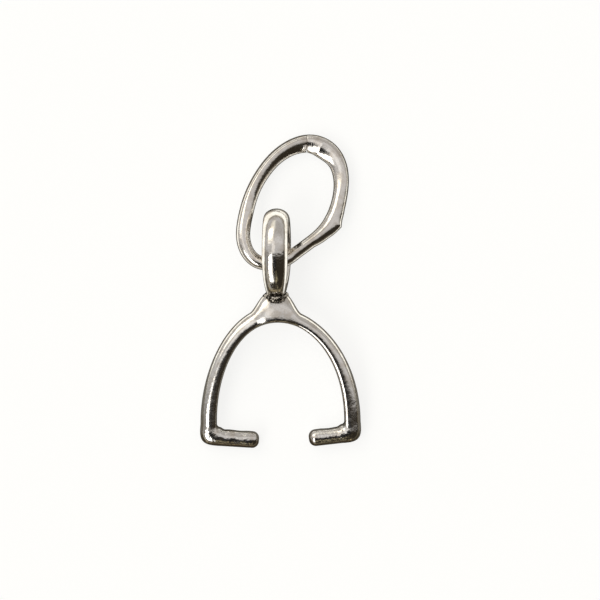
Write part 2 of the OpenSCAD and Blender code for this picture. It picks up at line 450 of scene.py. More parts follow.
class SkinTree:
    """Geometry Nodes tree that stretches a smooth skin over a row of stations."""

    WELD = 2e-8

    def __init__(self) -> None:
        """Builds the tree once."""
        inputs = {
            "Guide": "NodeSocketGeometry",
            "Sides": 64,
            "Joined Round": False,
            "Finish": "NodeSocketMaterial",
        }
        make = new_group("GeometryNodeTree", "section_skin", inputs, {"Skin": "NodeSocketGeometry"})
        self.tree = make.tree
        self._build(make)

    def _build(self, make: TreeMaker) -> None:
        """Fills the tree that make holds.

        Args:
            make: The maker that holds the empty tree.
        """
        given = make.node("NodeGroupInput").outputs
        count = make.node(
            "GeometryNodeAttributeDomainSize", {"Geometry": given["Guide"]}, component="MESH"
        ).outputs["Point Count"]
        columns = make.math("ADD", given["Sides"], 1)
        rows = make.math("ADD", count, given["Joined Round"])
        grid = make.node("GeometryNodeMeshGrid", {"Vertices X": rows, "Vertices Y": columns})
        index = make.node("GeometryNodeInputIndex").outputs[0]
        row = make.math("FLOOR", make.math("DIVIDE", make.math("ADD", index, 0.5), columns))
        column = make.math("SUBTRACT", index, make.times(row, columns))
        station = make.math("FLOOR", make.math("ADD", make.math("MODULO", row, count), 0.5))

        def sampled(name: str, kind: str = "FLOAT") -> NodeSocket:
            """Reads a named value of the row's own station.

            Args:
                name: Its name, or position.
                kind: Its data type.

            Returns:
                The value.
            """
            value = (
                make.node("GeometryNodeInputPosition").outputs[0]
                if name == "position"
                else make.node("GeometryNodeInputNamedAttribute", {"Name": name}, data_type=kind).outputs[0]
            )
            picked = make.node(
                "GeometryNodeSampleIndex",
                {"Geometry": given["Guide"], "Value": value, "Index": station},
                data_type=kind,
                domain="POINT",
            )
            return picked.outputs[0]

        turn = make.math("DIVIDE", make.times(column, math.tau), given["Sides"])
        c, s = make.math("COSINE", turn), make.math("SINE", turn)
        is_outer = make.math("GREATER_THAN", c, 0.0)

        def by_flank(name: str) -> NodeSocket:
            """Reads a value that differs outside and inside the crest."""
            inside, outside = sampled(name + "_in"), sampled(name + "_out")
            return make.math("MULTIPLY_ADD", is_outer, make.math("SUBTRACT", outside, inside), inside)

        square, fall, crest = by_flank("square"), by_flank("fall"), sampled("crest")
        size = make.math(
            "ADD",
            make.math("POWER", make.math("ABSOLUTE", c), square),
            make.math("POWER", make.math("ABSOLUTE", s), square),
        )
        reach = make.math("POWER", size, make.math("DIVIDE", -1.0, square))
        a, b = make.times(c, reach), make.times(s, reach)
        extent = make.math(
            "MULTIPLY_ADD", is_outer, make.math("SUBTRACT", 1.0, make.times(crest, 2.0)), crest
        )
        across = make.math("MULTIPLY_ADD", a, extent, crest)
        dome = make.math("SUBTRACT", 1.0, make.times(fall, make.times(a, a)))
        up = make.times(b, dome)
        sideways = make.scaled(sampled("across", "FLOAT_VECTOR"), across)
        place = make.vector("ADD", sampled("position", "FLOAT_VECTOR"), sideways)
        place = make.vector("ADD", place, make.scaled(sampled("half", "FLOAT_VECTOR"), up))
        mapped = make.node(
            "GeometryNodeStoreNamedAttribute",
            {"Geometry": grid.outputs["Mesh"], "Name": "UVMap", "Value": grid.outputs["UV Map"]},
            data_type="FLOAT2",
            domain="CORNER",
        ).outputs[0]
        moved = make.node("GeometryNodeSetPosition", {"Geometry": mapped, "Position": place}).outputs[0]
        welded = make.node("GeometryNodeMergeByDistance", {"Geometry": moved, "Distance": self.WELD})
        make.hand_over(welded.outputs[0], given["Finish"])

    def grow(
        self, name: str, stations: list[Station], sides: int, ends: Ends, finish: Material
    ) -> Object:
        """Makes a piece from its stations.

        Args:
            name: The piece's name.
            stations: The sections in order, in millimetres.
            sides: Faces round the section.
            ends: Whether the skin closes on itself.
            finish: The piece's material.

        Returns:
            The piece as a plain mesh, with its outside outwards.
        """
        mesh = bpy.data.meshes.new(name + "_guide")
        mesh.from_pydata([s.inner * MM for s in stations], [], [])
        for label, kind, values in (
            ("across", "FLOAT_VECTOR", [(s.outer - s.inner) * MM for s in stations]),
            ("half", "FLOAT_VECTOR", [s.half * MM for s in stations]),
            *((f.name, "FLOAT", [getattr(s.profile, f.name) for s in stations]) for f in fields(Profile)),
        ):
            layer = mesh.attributes.new(label, kind, "POINT")
            for item, value in zip(layer.data, values):
                setattr(item, "vector" if kind == "FLOAT_VECTOR" else "value", value)
        inputs = {"Sides": sides, "Joined Round": ends is Ends.JOINED_ROUND, "Finish": finish}
        return grown(self.tree, name, mesh, inputs)


@dataclass
class Swept:
    """A piece that is a skin over a row of stations."""

    name: str = "swept"
    ends: Ends = Ends.CLOSED_POLES
    sides: int = 64

    def stations(self) -> list[Station]:
        """Gives all sections in order."""
        raise NotImplementedError

    def build(self, skins: SkinTree, place: Matrix, finish: Material) -> Object:
        """Builds the piece.

        Args:
            skins: The tree that makes skins.
            place: The move from the stations' own plane to the table, in millimetres.
            finish: Its material.

        Returns:
            The piece.
        """
        rows = [s.moved(place) for s in self.stations()]
        return skins.grow(self.name, rows, self.sides, self.ends, finish)


# Finishes


POLISH_INPUTS = {
    "Wave": 0.002,
    "Wave Size": 0.8,
    "Grain": 0.0004,
    "Grain Size": 0.06,
    "Dent": 0.003,
    "Dent Size": 0.2,
    "Roughness": 0.15,
}


@dataclass(frozen=True)
class SilverFinish:
    """A hand-polished silver surface.

    Args:
        name: The material's name.
        tint: Colour of the clean metal.
        film: Colour where a thin film of tarnish lies.
        film_share: How much of the film shows.
        roughness: Blur of the reflections.
        wave: Depth of the slow waves that hand polishing leaves, in millimetres.
        wave_size: Distance between the waves, in millimetres.
        grain: Depth of the fine grain, in millimetres.
        grain_size: Distance between the grains, in millimetres.
        plier_marks: Depth of the marks of the pliers by the cut, in millimetres.
        dent: Depth of the small dents, in millimetres.
        dent_size: Distance between the dents, in millimetres.
        foot_marks: Depth of the rough marks on the feet and prongs, in millimetres.
        notch_shade: Colour of the painted shade laid in the plier notch on the inner side beside the eye.
    """

    name: str
    tint: Colour
    film: Colour
    film_share: float
    roughness: float
    wave: float
    wave_size: float
    grain: float
    grain_size: float
    plier_marks: float = 0.0
    dent: float = 0.0055
    dent_size: float = 0.2
    foot_marks: float = 0.0
    # Painted shade: a dark colour laid in the plier notch beside the eye, standing in for the shade in that
    # hollow.
    notch_shade: Colour = (0.04, 0.032, 0.02)

    def material(self, effects: Effects) -> Material:
        """Builds the material.

        Args:
            effects: The shared node groups.

        Returns:
            The new material.
        """
        made, make = new_material(self.name)
        polish = make.group(effects.polish, inputs_of(self, POLISH_INPUTS))
        film = {"Clean": (*self.tint, 1), "Film": (*self.film, 1), "Share": self.film_share}
        colour = make.group(effects.film, film)["Color"]
        height = polish["Height"]
        if self.plier_marks:
            marks = make.group(effects.plier_marks, {"Depth": self.plier_marks})
            # Painted shade: darkens the metal's colour in the plier notch beside the eye.
            colour = make.blend(marks["Painted Shade"], colour, self.notch_shade)
            height = make.math("ADD", height, marks["Height"])
        if self.foot_marks:
            marks = make.group(effects.foot_marks, {"Depth": self.foot_marks})
            height = make.math("ADD", height, marks["Height"])
        make.metal(colour, polish["Roughness"], height)
        return made


@dataclass(frozen=True)
class SolderFinish:
    """Rough, oxidised solder that has run and pitted.

    Args:
        name: The material's name.
        bright: Colour of the bare patches.
        dark: Colour of the oxide.
        pit: Depth of the pits, in millimetres.
        pit_size: Distance between the pits, in millimetres.
        patch_size: Distance between the bare patches, in millimetres.
        patch_edge: Noise at which a patch starts and at which it is bare.
        dull: Roughness of the oxide.
        shiny: Roughness of the bare patches.
    """

    name: str
    bright: Colour
    dark: Colour
    pit: float
    pit_size: float
    patch_size: float = 0.25
    patch_edge: Pair = (0.46, 0.6)
    dull: float = 0.5
    shiny: float = 0.25

    def material(self) -> Material:
        """Builds the material.

        Returns:
            The new material.
        """
        made, make = new_material(self.name)
        place = make.millimetres()
        pits = make.times(make.noise(place, 1 / self.pit_size, 3.0, 0.6), self.pit)
        bare = make.ramp(make.noise(place, 1 / self.patch_size), *self.patch_edge)
        colour = make.blend(bare, self.dark, self.bright)
        make.metal(colour, make.ramp(bare, 0.0, 1.0, self.dull, self.shiny), pits)
        return made


@dataclass
class Effects:
    """Shader node groups that more than one finish uses, each built when it is first asked for.

    A pair of numbers says where a fade starts and where it ends. Places along the ring's wire are
    shares of a turn from the cut, and places round it are shares from its outer edge over the top.
    """

    pits_per_mm: float = 7.5
    pit_depth: float = 6.0
    pitted_end: float = 0.035
    mark_start: Pair = (0.558, 0.566)
    mark_end: Pair = (0.582, 0.59)
    inner_side: Pair = (0.3, 0.36)
    # Size and edge of the patches of painted shade in the notch beside the eye.
    notch_shade_per_mm: float = 6.0
    notch_shade_edge: Pair = (0.4, 0.5)
    scores: Pair = (190.0, 5.0)
    score_depth: float = 0.25
    scored: Pair = (0.93, 0.98)
    rough_per_mm: float = 3.0
    feet: Pair = (-6.9, -7.3)
    clouds_per_mm: float = 2.2
    cloud_edge: Pair = (0.4, 0.66)
    specks_per_mm: float = 14.0
    speck_edge: Pair = (0.56, 0.68)
    speck_share: float = 0.7
    shine: Pair = (0.6, 0.8)

    @cached_property
    def plier_marks(self) -> NodeTree:
        """Makes the marks that pliers leave by a cut.

        Returns:
            The group, with the height of pits and scores, and the share of painted shade in the notch beside
            the eye.
        """
        outputs = {"Height": "NodeSocketFloat", "Painted Shade": "NodeSocketFloat"}
        make = new_group("ShaderNodeTree", "plier_marks", {"Depth": 0.01}, outputs)
        depth = make.node("NodeGroupInput").outputs["Depth"]
        mapped = make.node("ShaderNodeTexCoord").outputs["UV"]
        axes = make.node("ShaderNodeSeparateXYZ", {"Vector": mapped}).outputs
        along, around = axes["X"], axes["Y"]
        place = make.millimetres()
        inside = make.ramp(around, *self.inner_side)
        by_eye = make.times(make.ramp(along, *self.mark_start), make.ramp(along, *self.mark_end, 1.0, 0.0))
        cut_end = make.ramp(along, 0.0, self.pitted_end, 1.0, 0.0)
        pitted = make.times(make.math("ADD", cut_end, by_eye), inside)
        pits = make.times(make.noise(place, self.pits_per_mm, 2.0, 0.6), self.pit_depth)
        scores = make.noise(make.vector("MULTIPLY", mapped, Vector((*self.scores, 1.0))), 1.0, 2.0, 0.6)
        scored = make.ramp(along, *self.scored, 0.0, self.score_depth)
        height = make.math("ADD", make.times(pits, pitted), make.times(scores, scored))
        # Painted shade: a patchy mask of the dark colour in the notch beside the eye, on the wire's inner
        # side.
        notch_shade = make.ramp(make.noise(place, self.notch_shade_per_mm, 2.0, 0.6), *self.notch_shade_edge)
        painted_shade = make.times(by_eye, inside, notch_shade)
        make.node("NodeGroupOutput", {"Height": make.times(height, depth), "Painted Shade": painted_shade})
        return make.tree

    @cached_property
    def foot_marks(self) -> NodeTree:
        """Makes the rough marks that nipping and filing leave on the feet and prongs.

        Returns:
            The group, with their height.
        """
        make = new_group("ShaderNodeTree", "foot_marks", {"Depth": 0.03}, {"Height": "NodeSocketFloat"})
        depth = make.node("NodeGroupInput").outputs["Depth"]
        place = make.millimetres()
        along = make.node("ShaderNodeSeparateXYZ", {"Vector": place}).outputs["Y"]
        rough = make.noise(place, self.rough_per_mm, 2.0, 0.6)
        rough = make.times(rough, make.ramp(along, *self.feet))
        make.node("NodeGroupOutput", {"Height": make.times(rough, depth)})
        return make.tree

    @cached_property
    def polish(self) -> NodeTree:
        """Makes a hand-polished surface.

        Returns:
            The group, with its height and roughness.
        """
        outputs = {"Height": "NodeSocketFloat", "Roughness": "NodeSocketFloat"}
        make = new_group("ShaderNodeTree", "hand_polish", POLISH_INPUTS, outputs)
        given = make.node("NodeGroupInput").outputs
        place = make.millimetres()
        height: Feed = 0.0
        noises = {}
        for kind, detail in (("Wave", 1.0), ("Grain", 2.0), ("Dent", 1.0)):
            noises[kind] = make.noise(place, make.math("DIVIDE", 1.0, given[kind + " Size"]), detail)
            height = make.math("MULTIPLY_ADD", noises[kind], given[kind], height)
        least, more = self.shine
        rough = make.times(given["Roughness"], make.math("MULTIPLY_ADD", noises["Wave"], more, least))
        make.node("NodeGroupOutput", {"Height": height, "Roughness": rough})
        return make.tree

    @cached_property
    def film(self) -> NodeTree:
        """Makes a patchy film of tarnish.

        Returns:
            The group, with the colour of the silver under it.
        """
        inputs = {"Clean": (0.9, 0.88, 0.85, 1.0), "Film": (0.6, 0.5, 0.4, 1.0), "Share": 0.3}
        make = new_group("ShaderNodeTree", "tarnish_film", inputs, {"Color": "NodeSocketColor"})
        given = make.node("NodeGroupInput").outputs
        place = make.millimetres()
        clouds = make.ramp(make.noise(place, self.clouds_per_mm, 4.0, 0.6), *self.cloud_edge)
        specks = make.ramp(make.noise(place, self.specks_per_mm, 2.0, 0.6), *self.speck_edge)
        mask = make.math("MAXIMUM", clouds, make.times(specks, self.speck_share))
        mask = make.times(given["Share"], mask)
        make.node("NodeGroupOutput", {"Color": make.blend(mask, given["Clean"], given["Film"])})
        return make.tree


# The bail


@dataclass
class Lie:
    """How the bail lies on the table: its pitch in degrees, its height and the move to the origin."""

    pitch: float = 6.75193
    lift: float = 0.452806
    middle_y: float = 7.49481

    def matrix(self) -> Matrix:
        """Gives the move from the bail's own plane to the table."""
        turned = Matrix.Rotation(math.radians(self.pitch), 4, "X")
        return Matrix.Translation((0, -self.middle_y, self.lift)) @ turned


@dataclass
class Stirrup(Swept):
    """The arched stirrup with its feet, prongs and neck, in millimetres, with the prongs' axis at y = 0."""

    name: str = "stirrup"
    width: float = 8.2
    height: float = 6.82
    leg_w: float = 0.84
    crown_w: float = 0.86
    leg_t: float = 0.96
    neck_t: float = 1.24
    crest_in: float = 0.29
    spring_h: float = 0.82
    shoulder_out: float = 1.95
    shoulder_in: float = 2.05
    crown_drop: float = 0.14
    neck_h: float = 0.74
    neck_square: float = 1.5
    neck_flare_left: float = 1.4
    neck_flare_right: float = 1.25
    neck_shift: float = 0.21
    prong_d: float = 0.86
    prong_left: float = 2.2
    prong_right: float = 1.9
    leg_short: float = 0.15
    droop_left: float = 3.5
    droop_right: float = 6.5
    tip_round: float = 0.35
    foot_fillet: float = 0.14
    foot_step: float = 0.12
    foot_lip: float = 0.03
    foot_corner: float = 3.6
    step_l: float = 0.3
    leg_profile: Profile = Profile(0.345, 2.1, 5.0, 0.0, 0.12)
    crown_crest_in: float = 0.2
    neck_square_out: float = 1.75
    prong_profile: Profile = Profile(0.5, 2.1, 2.1, 0.0, 0.0)
    prong_wobble: float = 0.016
    wobble_rate: float = 5.2
    arch_rows: int = 240
    foot_rows: int = 36
    prong_rows: int = 40
    tip_rows: int = 10
    sides: int = 80

    @property
    def neck_top(self) -> float:
        """Height of the neck's top above the prongs' axis."""
        return self.height + self.neck_h

    def over_neck(self, rise: float) -> Matrix:
        """Gives the place at a height over the neck's top."""
        return Matrix.Translation((-self.neck_shift, self.neck_top + rise, 0))

    def _lean(self, rise: float) -> float:
        """Shift of the arch to the left at a height above the spring line."""
        return self.neck_shift * (rise / (self.height - self.spring_h)) ** 3

    def _neck_rise(self, x: float) -> float:
        """Gives how far the outline has risen from the crown to the neck's top.

        Args:
            x: Place across the stirrup, from its middle.

        Returns:
            The share of the rise.
        """
        flare = self.neck_flare_left if x < 0 else self.neck_flare_right
        away = min(abs(x) / flare, 1.0)
        return 0.5 + 0.5 * math.cos(math.pi * away**self.neck_square)

    def _arch(self, turn: float) -> Station:
        """Gives a section of the arch.

        Args:
            turn: Angle from the left leg, in degrees, up to 180 at the right leg.

        Returns:
            The section.
        """
        side = 1 if turn >= 90 else -1
        lift = math.radians(min(turn, 180 - turn))
        half_w = self.width / 2
        crown_h = self.height - (self.crown_drop if side > 0 else 0)
        outer = quarter(half_w, crown_h - self.spring_h, self.shoulder_out, lift)
        inner_h = self.height - self.crown_w - self.spring_h
        inner = quarter(half_w - self.leg_w, inner_h, self.shoulder_in, lift)
        rise = self._neck_rise(side * outer[0])
        inner_at = Vector((side * inner[0] - self._lean(inner[1]), self.spring_h + inner[1], 0))
        outer_y = mix(self.spring_h + outer[1], self.neck_top, rise)
        outer_at = Vector((side * outer[0] - self._lean(outer[1]), outer_y, 0))
        half = mix(self.leg_t, self.neck_t, rise) / 2
        crest_in = mix(self.crest_in, self.crown_crest_in, math.sin(lift) ** 4)
        profile = replace(
            self.leg_profile,
            crest=crest_in / (outer_at - inner_at).length,
            square_out=mix(self.leg_profile.square_out, self.neck_square_out, rise),
        )
        return Station(inner_at, outer_at, Vector((0, 0, half)), profile)

    def _hub(self, side: Side) -> Vector:
        """Gives the point that the foot turns about.

        Args:
            side: The leg.

        Returns:
            The point.
        """
        short = self.leg_short if side is Side.RIGHT else 0
        x = side.value * (self.width / 2 - self.leg_w - self.foot_fillet)
        return Vector((x, self.prong_d / 2 + self.foot_step + self.foot_fillet + short, 0))

    def _droop(self, side: Side) -> float:
        """Gives the prong's droop in radians."""
        return math.radians(self.droop_left if side is Side.LEFT else self.droop_right)

    def _foot(self, side: Side, turn: float) -> Station:
        """Gives a section of the foot.

        Args:
            side: The leg.
            turn: Share of the turn, 0 at the leg and 1 at the prong.

        Returns:
            The section.
        """
        angle = turn * (math.pi / 2 - self._droop(side))
        way = Vector((side.value * math.cos(angle), -math.sin(angle), 0))
        corner = (abs(way.x) ** self.foot_corner + abs(way.y) ** self.foot_corner) ** (-1 / self.foot_corner)
        reach = mix(self.leg_w, self.prong_d + self.foot_step, turn) + self.foot_fillet
        hub = self._hub(side)
        half = mix(self.leg_t / 2, self.prong_d / 2 + self.foot_lip, turn)
        return Station(
            hub + self.foot_fillet * way,
            hub + reach * corner * way,
            Vector((0, 0, half)),
            self.leg_profile.towards(self.prong_profile, smooth(turn)),
        )

    def _prong(self, side: Side) -> list[Station]:
        """Gives the sections of a prong, from its foot to its rounded tip.

        Args:
            side: The leg.

        Returns:
            The sections.
        """
        droop = self._droop(side)
        length = (self.prong_left if side is Side.LEFT else self.prong_right) - self.foot_fillet
        way = Vector((-side.value * math.cos(droop), -math.sin(droop), 0))
        top = Vector((-side.value * math.sin(droop), math.cos(droop), 0))
        radius = self.prong_d / 2
        root = self._hub(side) - (self.foot_fillet + self.foot_step + radius) * top

        def section(along: float, above: float, below: float, half: float) -> Station:
            """Gives the section at a length, by its reach above and below the axis and its half width."""
            at = root + along * way
            return Station(at + above * top, at - below * top, Vector((0, 0, half)), self.prong_profile)

        rows = []
        for share in spaced(self.prong_rows)[1:]:
            along = share * (length - self.tip_round)
            step = 1 - smooth(along / self.step_l)
            fade = smooth(share * 3) * smooth(3 - share * 3)
            wobble = self.prong_wobble * math.sin(self.wobble_rate * along + side.value) * fade
            above = radius + wobble + self.foot_step * step
            rows.append(section(along, above, radius, radius + self.foot_lip * step))
        for share in spaced(self.tip_rows)[1:]:
            angle = share * math.pi / 2
            reach = radius - self.tip_round * (1 - math.cos(angle))
            rows.append(section(length - self.tip_round * (1 - math.sin(angle)), reach, reach, reach))
        return [*rows, rows[-1].shrunk(0.5), rows[-1].shrunk(0.0)]

    def stations(self) -> list[Station]:
        """Gives all sections.

        Returns:
            The sections, from the left prong's tip to the right one's.
        """
        shares = spaced(self.foot_rows)
        left = [*reversed(self._prong(Side.LEFT)), *(self._foot(Side.LEFT, 1 - s) for s in shares)]
        arch = [self._arch(180 * s) for s in spaced(self.arch_rows)[1:-1]]
        right = [*(self._foot(Side.RIGHT, s) for s in shares), *self._prong(Side.RIGHT)]
        return [*left, *arch, *right]


@dataclass
class Eye(Swept):
    """The oval eye, soldered to the neck square to the stirrup, in millimetres."""

    name: str = "eye"
    ends: Ends = Ends.JOINED_ROUND
    length: float = 4.7
    height: float = 3.088
    band_t: float = 0.78
    band_w: float = 1.32
    foot_w: float = 0.88
    taper: float = 12
    sink: float = 0.46
    lean: float = 5
    profile: Profile = Profile(0.333, 2.0, 3.6)
    foot_profile: Profile = Profile(0.333, 3.6, 3.6)
    rows: int = 220
    sides: int = 72

    def _section(self, turn: float) -> Station:
        """Gives a section of the band.

        Args:
            turn: Angle from the neck, in radians.

        Returns:
            The section.
        """
        reach, rise = self.length / 2, self.height / 2
        outer = Vector((0, -reach * math.cos(turn), rise * math.sin(turn)))
        reach, rise = reach - self.band_t, rise - self.band_t
        inner = Vector((0, -reach * math.cos(turn), rise * math.sin(turn)))
        at_foot = abs(math.cos(turn / 2)) ** self.taper
        half = Vector((-mix(self.band_w, self.foot_w, at_foot) / 2, 0, 0))
        return Station(inner, outer, half, self.profile.towards(self.foot_profile, at_foot))

    def stations(self) -> list[Station]:
        """Gives all sections once round."""
        return [self._section(math.tau * s) for s in spaced(self.rows)[:-1]]

    def on_neck(self, stirrup: Stirrup) -> Matrix:
        """Gives the eye's place in the stirrup's plane."""
        leant = Matrix.Rotation(math.radians(-self.lean), 4, "Y")
        return stirrup.over_neck(self.length / 2 - self.sink) @ leant


@dataclass
class Solder:
    """The ragged lump of solder between the neck and the eye, in millimetres."""

    width: float = 1.22
    depth: float = 0.42
    height: float = 1.95
    below_top: float = 0.24
    lumps: float = 0.2
    lump_size: float = 0.22
    pits: float = 0.035
    pit_size: float = 0.08
    segments: int = 120
    rings: int = 72

    def _tree(self) -> NodeTree:
        """Makes a tree that roughens a ball and stretches it.

        Returns:
            The tree.
        """
        inputs = {
            "Guide": "NodeSocketGeometry",
            "Lumps": 0.16,
            "Lump Size": 0.22,
            "Pits": 0.05,
            "Pit Size": 0.07,
            "Finish": "NodeSocketMaterial",
        }
        make = new_group("GeometryNodeTree", "rough_lump", inputs, {"Lump": "NodeSocketGeometry"})
        given = make.node("NodeGroupInput").outputs
        ball = make.node("GeometryNodeMeshUVSphere", {"Segments": self.segments, "Rings": self.rings})
        round_place = make.node("GeometryNodeInputPosition").outputs[0]
        sizes = Vector((self.width / 2, self.depth / 2, self.height / 2))
        place = make.vector("MULTIPLY", round_place, sizes)
        push: Feed = 0.0
        for kind in ("Lump", "Pit"):
            noise = make.noise(place, make.math("DIVIDE", 1.0, given[kind + " Size"]))
            depth = make.times(given[kind + "s"], 2.0)
            push = make.math("MULTIPLY_ADD", make.math("SUBTRACT", noise, 0.5), depth, push)
        rough = make.scaled(make.vector("ADD", place, make.scaled(round_place, push)), MM)
        moved = make.node("GeometryNodeSetPosition", {"Geometry": ball.outputs["Mesh"], "Position": rough})
        make.hand_over(moved.outputs[0], given["Finish"])
        return make.tree

    def build(self, place: Matrix, finish: Material) -> Object:
        """Builds the lump.

        Args:
            place: The move from its own middle to the table, in millimetres.
            finish: Its material.

        Returns:
            The piece.
        """
        inputs = inputs_of(self, ("Lumps", "Lump Size", "Pits", "Pit Size"))
        guide_mesh = bpy.data.meshes.new("solder_guide")
        piece = grown(self._tree(), "solder", guide_mesh, {**inputs, "Finish": finish})
        in_metres = place.copy()
        in_metres.translation *= MM
        piece.data.transform(in_metres)
        return piece


@dataclass
class JumpRing(Swept):
    """The loose oval jump ring, closed by hand, in millimetres."""

    name: str = "jump_ring_wire"
    length: float = 6.695
    width: float = 4.24
    wire: float = 0.76
    turn: float = 58.8
    at_eye: float = 204.5
    slope: float = 8.76246
    wire_in_eye: tuple[float, float, float] = (-0.21, 1.47524, 1.26617)
    rows: tuple[tuple[float, float, float], ...] = (
        (0.965, 1.42, 0.80),
        (1.010, 1.20, 0.86),
        (1.025, 1.00, 0.96),
        (0.988, 0.93, 1.00),
        (0.967, 0.98, 0.98),
        (1.030, 0.95, 0.98),
        (1.035, 0.92, 0.98),
        (0.975, 0.97, 0.96),
        (0.948, 1.04, 0.94),
        (1.040, 1.10, 0.92),
        (1.008, 1.00, 0.94),
        (0.985, 1.15, 0.88),
    )
    pinches: tuple[Pair, ...] = (
        (214.0, 0.0),
        (232.0, -0.12),
        (248.0, -0.15),
        (262.0, -0.04),
        (272.0, 0.13),
        (274.0, 0.17),
        (276.0, 0.11),
        (279.0, 0.05),
        (288.0, 0.0),
    )
    inner_bevel: Profile = Profile(0.68, 1.8, 3.2, 0.0, 0.55)
    inner_bevel_end: float = 145.0
    far_side: Profile = Profile(0.66, 2.2, 2.0, 0.0, 0.0)
    far_side_start: float = 296.0
    end_turn: float = 20.0
    end_flat: float = 0.06
    end_fall: float = 0.5
    outer_bevel: Profile = Profile(0.46, 4.0, 2.0, 0.56, 0.0)
    outer_bevel_start: float = 216.0
    outer_bevel_end: float = 278.0
    cut: float = 27.0
    cut_gap: float = 0.05
    cut_lip: float = 0.97
    inner_bevel_fade: float = 60.0
    outer_bevel_fades: Pair = (12.0, 14.0)
    far_side_fade: float = 20.0
    lip_turn: float = 0.2
    cut_reach: float = 4.0
    sections: int = 440

    def _row(self, column: int, turn: float) -> float:
        """Reads a column of the table by a smooth closed curve.

        Args:
            column: 0 for reach, 1 for width and 2 for height.
            turn: Angle from the far end, in degrees.

        Returns:
            The value.
        """
        n = len(self.rows)
        place = turn / 360 * n
        i = math.floor(place)
        t = place - i
        p0, p1, p2, p3 = (self.rows[(i + k) % n][column] for k in (-1, 0, 1, 2))
        return p1 + 0.5 * t * (p2 - p0 + t * (2 * p0 - 5 * p1 + 4 * p2 - p3 + t * (3 * (p1 - p2) + p3 - p0)))

    def _flat(self, turn: float) -> Vector:
        """Gives the wire's centre in the ring's own plane.

        Args:
            turn: Angle from the far end, in degrees.

        Returns:
            The point, long axis first.
        """
        reach = self._row(0, turn)
        a = math.radians(turn)
        return Vector((reach * self.length / 2 * math.cos(a), reach * self.width / 2 * math.sin(a), 0))

    def _centre(self, turn: float) -> Vector:
        """Gives the wire's centre on the table.

        Args:
            turn: Angle from the far end, in degrees.

        Returns:
            The point.
        """
        away = self._flat(turn) - self._flat(self.at_eye)
        turned = Matrix.Rotation(math.radians(self.turn), 3, "Z") @ away
        drop = -math.tan(math.radians(self.slope)) * away.x
        return Vector(self.wire_in_eye) + Vector((turned.x, turned.y, drop))

    def _end(self, turn: float) -> float:
        """Gives the share by which the end right of the cut is flattened."""
        return max(0.0, 1 - (self.cut + 360 - turn) / self.end_turn)

    def _pinch(self, turn: float) -> float:
        """Gives how far the pliers pushed the outer edge out.

        Args:
            turn: Angle from the far end, in degrees.

        Returns:
            The distance, in millimetres.
        """
        at = turn % 360
        for (low, before), (high, after) in zip(self.pinches, self.pinches[1:]):
            if low <= at < high:
                return mix(before, after, (at - low) / (high - low))
        return 0.0

    def _profile(self, turn: float, crest: float) -> Profile:
        """Gives the outline of the wire, which the pliers flattened in two places.

        Args:
            turn: Angle from the far end, in degrees.
            crest: Share of the width from the inner edge to the wire's centre line.

        Returns:
            The outline.
        """
        inner = smooth((self.inner_bevel_end - turn) / self.inner_bevel_fade) * (turn < 180)
        fade_in, fade_out = self.outer_bevel_fades
        outer = smooth((turn - self.outer_bevel_start) / fade_in)
        outer *= smooth((self.outer_bevel_end - turn) / fade_out)
        far = smooth((turn - self.far_side_start) / self.far_side_fade)
        shaped = Profile(crest).towards(self.inner_bevel, inner).towards(self.outer_bevel, outer)
        return shaped.towards(replace(self.far_side, fall_in=self._end(turn) * self.end_fall), far)

    def _section(self, turn: float, inner_shift: float = 0.0) -> Station:
        """Gives a section of the wire.

        Args:
            turn: Angle from the far end, in degrees.
            inner_shift: How far its inner edge is moved on along the wire, in millimetres.

        Returns:
            The section.
        """
        ahead = (self._centre(turn + 1) - self._centre(turn - 1)).normalized()
        side = ahead.cross(Vector((0, 0, 1))).normalized()
        up = side.cross(ahead)
        flat = self.end_flat * self._end(turn)
        centre = self._centre(turn) - flat * up
        half_w = self._row(1, turn) * self.wire / 2
        half_h = self._row(2, turn) * self.wire / 2 - flat
        full_w = 2 * half_w + self._pinch(turn)
        return Station(
            centre - half_w * side + inner_shift * ahead,
            centre + (full_w - half_w) * side,
            half_h * up,
            self._profile(turn, half_w / full_w),
        )

    def stations(self) -> list[Station]:
        """Gives all sections.

        Returns:
            The sections, from one side of the cut to the other.
        """
        first = self._section(self.cut + self.lip_turn / 4, self.cut_gap / 2)
        last = self._section(self.cut + 360 - self.lip_turn / 4, -self.cut_gap / 2)
        rows = [first.shrunk(0.0), first.shrunk(self.cut_lip)]
        for share in spaced(self.sections):
            turn = self.cut + mix(self.lip_turn, 360 - self.lip_turn, share)
            near_start = 1 - smooth((turn - self.cut) / self.cut_reach)
            near_end = 1 - smooth((self.cut + 360 - turn) / self.cut_reach)
            rows.append(self._section(turn, (near_start - near_end) * self.cut_gap / 2))
        return [*rows, last.shrunk(self.cut_lip), last.shrunk(0.0)]


# The studio


@dataclass(frozen=True)
class Card:
    """A soft light or a dark card hung level over the table, with its sides along X and Y.

    Its place and size are shares of its height over the table, so 1 is 45 degrees off the vertical.

    Args:
        name: What it is.
        left: Its left side.
        right: Its right side.
        front: Its side towards the prongs.
        back: Its side towards the jump ring.
        edge: Width of its soft edge.
        colour: Its light.
        slant: Slope of its back side along X.
    """

    name: str
    left: float
    right: float
    front: float
    back: float
    edge: float
    colour: Colour
    slant: float = 0.0


